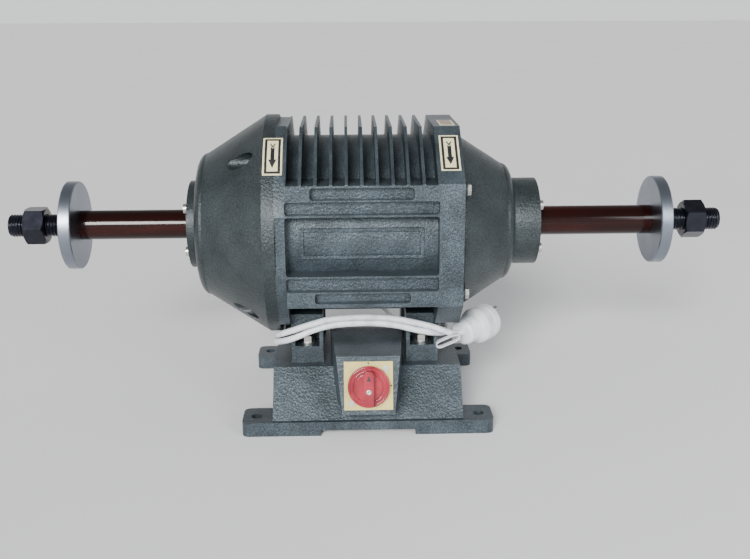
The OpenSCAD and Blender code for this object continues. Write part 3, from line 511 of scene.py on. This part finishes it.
# The first point lies inside the gland and is left out of the visible lead
LEAD_ROUTE_MM = [
    (40, 88, 36), (40, 126, 36), (39.8, 132.5, 36.2), (38.3, 141, 37.8), (34, 149, 42), (26.5, 154.5, 48.5),
    (16, 156, 56), (3, 152.5, 64), (-10, 143.5, 71), (-25, 130.5, 77), (-40, 115.5, 80.5), (-54.5, 97.5, 82),
    (-69, 80, 81.5), (-82, 65, 80), (-86.5, 57, 79), (-88, 48, 78), (-87, 36, 76.7), (-85, 22, 75.7),
    (-84.5, 8, 75.5), (-84.5, -6, 75.5), (-85.8, -16, 75.5), (-89.7, -26, 76), (-93.8, -36, 77),
    (-95, -45.5, 78.5), (-93, -56, 81.5), (-87, -65.5, 85.3), (-77.5, -71.5, 89.8), (-67, -73.5, 94.5),
    (-56, -73, 99), (-38, -71.5, 103.5), (-16, -70, 105), (8, -70, 105), (30, -71.5, 103), (46, -73, 99.5),
    (57, -73, 97), (67.5, -71, 94.5), (77, -64.5, 92), (83, -55.5, 90), (85, -45, 88.5), (85, -34, 87.3),
    (85, -11, 86), (85, 34, 85.5), (85, 45, 85.5), (83, 55.5, 86), (77, 64.5, 86.8), (67.5, 71, 87.8),
    (57, 73, 88.8), (42, 73, 90.1), (24, 72.5, 91), (-22, 72, 92), (-42, 72.5, 91.5), (-61, 73.5, 90),
    (-71.5, 71.5, 89), (-81, 65.3, 87.8), (-87, 56.3, 86.3), (-89, 45.5, 84.8), (-87.8, 37, 83.7),
    (-86, 29.5, 83), (-84.8, 22, 82.7), (-84.5, 8, 82.5), (-84.5, -5, 82.5), (-84.5, -16, 82.2),
    (-85, -24, 82), (-87, -32, 82), (-90, -40, 83.3), (-92, -49, 86.5), (-90, -58.5, 90.5), (-84, -68, 95.5),
    (-74.5, -74, 100.3), (-64, -76, 104.5), (-52, -75.5, 108), (-38, -73, 110.7), (-16, -71, 112),
    (8, -71, 112), (30, -71.5, 110), (50, -72.5, 105.7), (66, -73.5, 102), (80, -72.5, 96.5),
    (91, -66.5, 91.3), (99, -58, 89),
]
# Degrees that the plug turns about Z and lifts from level
PLUG_TURN = 48
PLUG_LIFT = 2
PLUG_SIDES = 96
RIB_COUNT, RIB_START, RIB_PITCH = 4, 6.5, 2.6


def rounded_route(points, steps=4):
    """Smooth line through the points, as a Catmull-Rom curve."""
    line = []
    for k in range(len(points) - 1):
        p0 = points[max(k - 1, 0)]
        p1, p2 = points[k], points[k + 1]
        p3 = points[min(k + 2, len(points) - 1)]
        for s in range(steps):
            t = s / steps
            line.append(
                0.5 * (2 * p1 + (p2 - p0) * t + (2 * p0 - 5 * p1 + 4 * p2 - p3) * t ** 2
                       + (3 * p1 - p0 - 3 * p2 + p3) * t ** 3)
            )
    line.append(points[-1].copy())
    return line


def make_lead():
    points = [Vector(p) * MM for p in LEAD_ROUTE_MM[1:]]
    line = rounded_route(points)
    curve = bpy.data.curves.new("supply_lead", "CURVE")
    curve.dimensions = "3D"
    curve.bevel_depth = LEAD_D / 2
    curve.bevel_resolution = 6
    curve.use_fill_caps = True
    spline = curve.splines.new("POLY")
    spline.points.add(len(line) - 1)
    for target, point in zip(spline.points, line):
        target.co = (*point, 1)
    curve.materials.append(MATERIALS["lead_sheath"])
    lead = add_object("supply_lead", curve)
    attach(lead, "motor_frame")
    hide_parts("power_cord")
    pieces = [make_plug(points[-1]), make_strap()]


def plug_matrix(at):
    turn = Matrix.Rotation(math.radians(PLUG_TURN), 4, "Z")
    lay = Matrix.Rotation(math.radians(90 - PLUG_LIFT), 4, "Y")
    return Matrix.Translation(at) @ turn @ lay


def make_plug(at):
    """Plug with a ribbed grip on its neck, a grooved head and a flat face for the pins."""
    neck, head = 14 * MM, 19.25 * MM
    outline = [(0, 0), (8 * MM, 0), (11.4 * MM, 0.6 * MM), (13.3 * MM, 2.4 * MM), (neck, 5 * MM)]
    for k in range(RIB_COUNT):
        z = (RIB_START + k * RIB_PITCH) * MM
        outline += [
            (neck, z), (neck - 0.7 * MM, z + 0.35 * MM),
            (neck - 0.7 * MM, z + 1.15 * MM), (neck, z + 1.5 * MM),
        ]
    outline += [
        (neck, 18 * MM), (16.2 * MM, 21.5 * MM), (head - 1.1 * MM, 23.8 * MM), (head, 26 * MM),
        (head, 36 * MM), (head - 0.5 * MM, 36.4 * MM), (head - 0.5 * MM, 37.4 * MM), (head, 37.8 * MM),
        (head, 45 * MM), (head - 0.6 * MM, 47 * MM), (head - 2 * MM, 48 * MM), (0, 48 * MM),
    ]
    bm = lathe(bmesh.new(), outline, PLUG_SIDES, plug_matrix(at))
    plug = link("plug_shell", mesh_of("plug_shell", bm), MATERIALS["plug_shell"])
    round_edges(plug, 0.25 * MM, 2, 25)
    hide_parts("plug_body")
    return plug


STRAP_INSET = 4.2 * MM
STRAP_HALF_WIDTH = 3.6 * MM
STRAP_THICKNESS = 0.7 * MM
STRAP_OVERHANG = 3.4 * MM
STRAP_RISE = 3.7 * MM
STRAP_STEPS = 48
# Under 1 it squares the loop's ends, as a folded strap has
STRAP_BOW = 0.35


def make_strap():
    """Flat strap folded round the lead beside the plug, as a closed loop."""
    low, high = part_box("cord_tie")
    middle_y = (low.y + high.y) / 2
    start = Vector((low.x + STRAP_INSET, middle_y, low.z + STRAP_INSET))
    end = Vector((high.x - STRAP_INSET, middle_y, high.z - STRAP_INSET))
    along = (end - start).normalized()
    across = Vector((0, 1, 0))
    lift = along.cross(across).normalized()
    bm = bmesh.new()
    rows = []
    reach = (end - start).length / 2 + STRAP_OVERHANG
    centre = (start + end) / 2
    for k in range(STRAP_STEPS):
        a = 2 * math.pi * k / STRAP_STEPS
        bow = abs(math.cos(a)) ** STRAP_BOW * (1 if math.cos(a) > 0 else -1)
        for layer in (0.0, STRAP_THICKNESS):
            point = centre + along * bow * (reach - layer) + lift * math.sin(a) * (STRAP_RISE - layer)
            rows.append([
                bm.verts.new(point + across * s * STRAP_HALF_WIDTH) for s in (-1, -0.8, 0.8, 1)
            ])
    for k in range(STRAP_STEPS):
        outer, inner = rows[2 * k], rows[2 * k + 1]
        outer_next = rows[(2 * k + 2) % len(rows)]
        inner_next = rows[(2 * k + 3) % len(rows)]
        for s in range(3):
            bm.faces.new((outer[s], outer[s + 1], outer_next[s + 1], outer_next[s]))
            bm.faces.new((inner[s + 1], inner[s], inner_next[s], inner_next[s + 1]))
        for s in (0, 3):
            bm.faces.new((outer[s], outer_next[s], inner_next[s], inner[s]))
    strap = link("lead_strap", mesh_of("lead_strap", bm), MATERIALS["lead_sheath"])
    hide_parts("cord_tie")
    return strap


# ---- Labels ----


# Height of the printing over a label's face
PRINT_SKIN = 0.08 * MM
# From the middle of the flat label to its face
LABEL_HALF = 0.16 * MM
TOP_LABEL_MARGIN = 1.6 * MM
# Cuts of each printed edge, so that the printing follows a round label
PRINT_CUTS = 9


def arrow_shapes(width, height):
    """Outlines of a label's printing: four bars of a frame, a shaft, a head and a tail."""
    margin, bar = width * 0.09, width * 0.13
    left, right = -width / 2 + margin, width / 2 - margin
    low, high = -height / 2 + margin, height / 2 - margin

    def box(x0, y0, x1, y1):
        return [(x0, y0), (x1, y0), (x1, y1), (x0, y1)]

    shaft, head = width * 0.10, width * 0.21
    tip, shoulder, tail = (height * share for share in (-0.335, -0.12, 0.23))
    stroke = height * 0.055
    return [
        box(left, low, right, low + bar), box(left, high - bar, right, high),
        box(left, low + bar, left + bar, high - bar), box(right - bar, low + bar, right, high - bar),
        [(0, tip), (head, shoulder), (-head, shoulder)],
        [(-shaft, shoulder), (shaft, shoulder), (shaft, tail), (0, tail - head * 0.6), (-shaft, tail)],
        [(-shaft * 1.3, tail + stroke * 2), (0, tail + stroke * 0.4), (shaft * 1.3, tail + stroke * 2),
         (shaft * 1.3, tail + stroke), (0, tail - stroke * 0.6), (-shaft * 1.3, tail + stroke)],
    ]


def print_label(name, place, width, height):
    """Printing on a label. place(u, v) gives a point on its face, with u across and v up."""
    bm = bmesh.new()
    for outline in arrow_shapes(width, height):
        corners = [bm.verts.new((x, y, 0)) for x, y in outline]
        bm.faces.new(corners)
    bmesh.ops.triangulate(bm, faces=bm.faces)
    bmesh.ops.subdivide_edges(bm, edges=bm.edges, cuts=PRINT_CUTS, use_grid_fill=True)
    for vertex in bm.verts:
        vertex.co = place(vertex.co.x, vertex.co.y)
    mesh = bpy.data.meshes.new(name)
    bm.to_mesh(mesh)
    bm.free()
    printing = link(name, mesh, INK)
    return printing


def make_labels():
    low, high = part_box("right_arrow_label")
    # The flat label leans with the casing's shoulder, from its top edge down to its front edge
    width = high.x - low.x
    slope = Vector((0, high.y - low.y, high.z - low.z))
    up = slope.normalized()
    out = Vector((0, -up.z, up.y))
    middle = (low + high) / 2

    def on_flat(u, v):
        return middle + Vector((u, 0, 0)) + up * v + out * (LABEL_HALF + PRINT_SKIN)

    print_label("right_arrow_print", on_flat, width, slope.length)

    low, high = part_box("left_arrow_label")
    axis_z = sum(corner.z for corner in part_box("spindle_shaft")) / 2
    radius = max((v.co.yz - Vector((0, axis_z))).length for v in NODES["left_arrow_label"].data.vertices)
    ends = [math.atan2(v.co.z - axis_z, -v.co.y) for v in NODES["left_arrow_label"].data.vertices]
    angle, arc = (min(ends) + max(ends)) / 2, (max(ends) - min(ends)) * radius
    middle_x = (low.x + high.x) / 2

    def on_round(u, v):
        a = angle + v / radius
        r = radius + PRINT_SKIN
        return Vector((middle_x + u, -r * math.cos(a), axis_z + r * math.sin(a)))

    print_label("left_arrow_print", on_round, high.x - low.x, arc)

    # The small label has a plain patch of colour and no wording
    low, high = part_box("top_label")
    x0, x1 = low.x + TOP_LABEL_MARGIN, high.x - TOP_LABEL_MARGIN
    y0, y1 = low.y + TOP_LABEL_MARGIN, high.y - TOP_LABEL_MARGIN
    bm = bmesh.new()
    bm.faces.new([
        bm.verts.new((x, y, high.z + PRINT_SKIN)) for x, y in ((x0, y0), (x1, y0), (x1, y1), (x0, y1))
    ])
    link("top_label_print", mesh_of("top_label_print", bm), TAN)


# ---- Spindle ----

THREAD_PITCH = 3.0 * MM
THREAD_DEPTH = 1.3 * MM
THREAD_SIDES = 64
STEPS_PER_TURN = 8
# Radii of the CAD spindle in mm: thread, journals and rotor body
THREAD_R, JOURNAL_R, ROTOR_BODY_R = 12, 15, 19
# The plain middle stays this far under the pieces that sit on it, in mm
SEAT_GAP = 0.05
END_CHAMFER = 1.5 * MM
CENTRE_HOLE_R = 2.2 * MM
CENTRE_HOLE_DEPTH = 3 * MM


def make_spindle():
    """Spindle with cut threads on both ends, left-handed on the left, and a centre hole in each."""
    low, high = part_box("spindle_shaft")
    axis_z = (low.z + high.z) / 2
    radius = THREAD_R * MM
    rows = [
        (low.x + CENTRE_HOLE_DEPTH, 0, 0), (low.x, CENTRE_HOLE_R, 0), (low.x, radius - END_CHAMFER, 0),
    ]

    def threaded(start, end, hand):
        count = int((end - start) / THREAD_PITCH * STEPS_PER_TURN)
        for k in range(count + 1):
            rows.append((start + (end - start) * k / count, radius, hand))

    left_sleeve, right_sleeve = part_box("left_sleeve"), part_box("right_sleeve")
    left_race, right_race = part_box("left_inner_race"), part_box("right_inner_race")
    threaded(low.x + END_CHAMFER, left_sleeve[0].x, -1)
    middle = (
        (left_sleeve[0].x + MM, THREAD_R), (left_race[0].x, THREAD_R),
        (left_race[0].x, JOURNAL_R), (left_race[1].x, JOURNAL_R),
        (left_race[1].x, ROTOR_BODY_R), (right_race[0].x, ROTOR_BODY_R),
        (right_race[0].x, JOURNAL_R), (right_race[1].x, JOURNAL_R),
        (right_race[1].x, THREAD_R), (right_sleeve[1].x - MM, THREAD_R),
    )
    for x, r in middle:
        rows.append((x, (r - SEAT_GAP) * MM, 0))
    threaded(right_sleeve[1].x, high.x - END_CHAMFER, 1)
    rows += [
        (high.x, radius - END_CHAMFER, 0), (high.x, CENTRE_HOLE_R, 0), (high.x - CENTRE_HOLE_DEPTH, 0, 0),
    ]
    bm = bmesh.new()
    rings = []
    for x, r, hand in rows:
        if r < TINY:
            rings.append([bm.verts.new((x, 0, axis_z))])
            continue
        ring = []
        for k in range(THREAD_SIDES):
            turn = k / THREAD_SIDES
            depth = 0.0
            if hand:
                phase = (x / THREAD_PITCH - hand * turn) % 1.0
                depth = THREAD_DEPTH * min(1.0, max(0.0, 2.4 * abs(phase - 0.5) - 0.1))
            a = 2 * math.pi * turn
            reach = r - depth
            ring.append(bm.verts.new((x, reach * math.cos(a), axis_z + reach * math.sin(a))))
        rings.append(ring)
    bridge(bm, rings, THREAD_SIDES)
    mesh = mesh_of("threaded_spindle", bm)
    spindle = link("threaded_spindle", mesh, MATERIALS["black_oxide"], "spindle")
    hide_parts("spindle_shaft")


# ---- Switch knob ----


# Heights over the switch joint, along its axis
RING_BASE = 8.8 * MM
GRIP_TOP = 20.8 * MM
PLATE_PRINT = 2.08 * MM
RING_SIDES = 72
SCREW_SIDES = 32
SCREW_DOWN = 3 * MM
# Corners across and up the panel, in mm
POINTER = ((-2.2, 7.5), (2.2, 7.5), (0, 13.0))
TICK = ((-0.8, 21.6), (0.8, 21.6), (0.8, 23.2), (-0.8, 23.2))
# Radius and height over the grip's top, in mm
SCREW_OUTLINE = ((0, 0.3), (1.0, 0.3), (1.3, 0.9), (2.3, 0.9), (2.8, 0.4), (2.8, -0.6), (0, -0.6))
SWITCH_POSITIONS = (0, 90)


def on_panel():
    """Matrix of the switch's axis: Z out of the panel, Y up it, from the back of the knob."""
    joint = next(j for j in frame["joints"] if j["name"] == "switch_turn")
    tilt = math.atan2(-joint["axis"][2], joint["axis"][1])
    at = Vector(joint["pos_m"])
    return Matrix.Translation(at) @ Matrix.Rotation(math.pi / 2 - tilt, 4, "X")


def knob_ring(name, place, radius, wide, tall):
    """Raised ring round the knob's face, with sloping sides."""
    top = RING_BASE + tall
    outline = [
        (radius - wide, RING_BASE), (radius - wide * 0.7, top), (radius + wide * 0.7, top),
        (radius + wide, RING_BASE), (radius - wide, RING_BASE),
    ]
    bm = lathe(bmesh.new(), outline, RING_SIDES, place)
    bmesh.ops.remove_doubles(bm, verts=bm.verts, dist=TINY)
    piece = link(name, mesh_of(name, bm), MATERIALS["knob_plastic"], "switch_shaft")


def flat_mark(name, matrix, corners, height):
    """Mesh of one flat face, with its corners in mm on the plane of a matrix."""
    bm = bmesh.new()
    bm.faces.new([bm.verts.new(matrix @ Vector((x * MM, y * MM, height))) for x, y in corners])
    return mesh_of(name, bm)


def make_knob_detail():
    """Two raised rings, a pointer and a screw on the knob, and two plain ticks on its plate."""
    place = on_panel()
    knob_ring("knob_outer_ring", place, 19.0 * MM, 0.9 * MM, 0.7 * MM)
    knob_ring("knob_inner_ring", place, 15.6 * MM, 0.8 * MM, 0.6 * MM)
    pointer = flat_mark("knob_pointer", place, POINTER, GRIP_TOP + 0.06 * MM)
    link("knob_pointer", pointer, INK, "switch_shaft")
    outline = [(r * MM, GRIP_TOP + z * MM) for r, z in SCREW_OUTLINE]
    below = place @ Matrix.Translation((0, -SCREW_DOWN, 0))
    screw = mesh_of("knob_screw", lathe(bmesh.new(), outline, SCREW_SIDES, below))
    link("knob_screw", screw, MATERIALS["zinc"], "switch_shaft")
    for turn in SWITCH_POSITIONS:
        name = f"plate_tick_{turn}"
        spin = place @ Matrix.Rotation(math.radians(-turn), 4, "Z")
        link(name, flat_mark(name, spin, TICK, PLATE_PRINT), INK)


# ---- Light and floor ----


def soft_light(name, at, aim, size, power, colour):
    """Rectangular area light at one point, aimed at another."""
    data = bpy.data.lights.new(name, "AREA")
    data.shape = "RECTANGLE"
    data.size, data.size_y = size
    data.energy = power
    data.color = colour
    light = add_object(name, data)
    light.location = at
    light.rotation_euler = (Vector(aim) - Vector(at)).to_track_quat("-Z", "Y").to_euler()


def sun(name, azimuth, elevation, power, spread, colour):
    """Wide soft key without falloff. Azimuth 0 shines from -Y, and grows towards +X."""
    data = bpy.data.lights.new(name, "SUN")
    data.energy = power
    data.angle = math.radians(spread)
    data.color = colour
    light = add_object(name, data)
    a, e = math.radians(azimuth), math.radians(elevation)
    towards = Vector((-math.sin(a) * math.cos(e), math.cos(a) * math.cos(e), -math.sin(e)))
    light.rotation_euler = towards.to_track_quat("-Z", "Y").to_euler()


WORLD_LIGHT = 1.12
# Height in the sky from 0 to 1, and its brightness: bright at the height of the object, dim overhead
SKY = ((0.14, 1.0), (0.45, 0.42), (1.0, 0.22))
FLOOR_HALF = 60.0
# The floor lies just under the feet, so that the two don't touch
FLOOR_GAP = 0.2 * MM


def make_stage():
    bm = bmesh.new()
    bmesh.ops.create_grid(bm, x_segments=2, y_segments=2, size=FLOOR_HALF)
    mesh = bpy.data.meshes.new("floor")
    bm.to_mesh(mesh)
    bm.free()
    n = Nodes("floor")
    n.colour(n.ramp(n.noise(1.5), [(0.3, (0.93, 0.93, 0.935)), (0.7, (0.96, 0.96, 0.965))]))
    n.set(Roughness=0.8, Specular_IOR_Level=0.15)
    mesh.materials.append(n.material)
    floor = add_object("floor", mesh)
    floor.location.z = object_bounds()[0].z - FLOOR_GAP
    world = bpy.data.worlds.new("studio")
    world.use_nodes = True
    tree = world.node_tree
    split = tree.nodes.new("ShaderNodeSeparateXYZ")
    ramp = tree.nodes.new("ShaderNodeValToRGB")
    tree.links.new(tree.nodes.new("ShaderNodeTexCoord").outputs["Generated"], split.inputs[0])
    tree.links.new(split.outputs["Z"], ramp.inputs["Fac"])
    tree.links.new(ramp.outputs["Color"], tree.nodes["Background"].inputs["Color"])
    ramp.color_ramp.elements.new(0.5)
    for element, (place, level) in zip(ramp.color_ramp.elements, SKY):
        element.position = place
        element.color = (0.97 * level, 0.985 * level, level, 1)
    tree.nodes["Background"].inputs["Strength"].default_value = WORLD_LIGHT
    bpy.context.scene.world = world
    sun("key", azimuth=-16, elevation=24, power=4.4, spread=20, colour=(1.0, 0.99, 0.97))
    soft_light(
        "right_fill", at=(0.9, -1.2, 0.7), aim=(0.1, 0, 0.18), size=(0.5, 0.6), power=7,
        colour=(0.94, 0.97, 1.0),
    )


make_camera()
paint_nodes()
make_lead()
soften_castings()
make_spindle()
make_knob_detail()
make_labels()
make_stage()
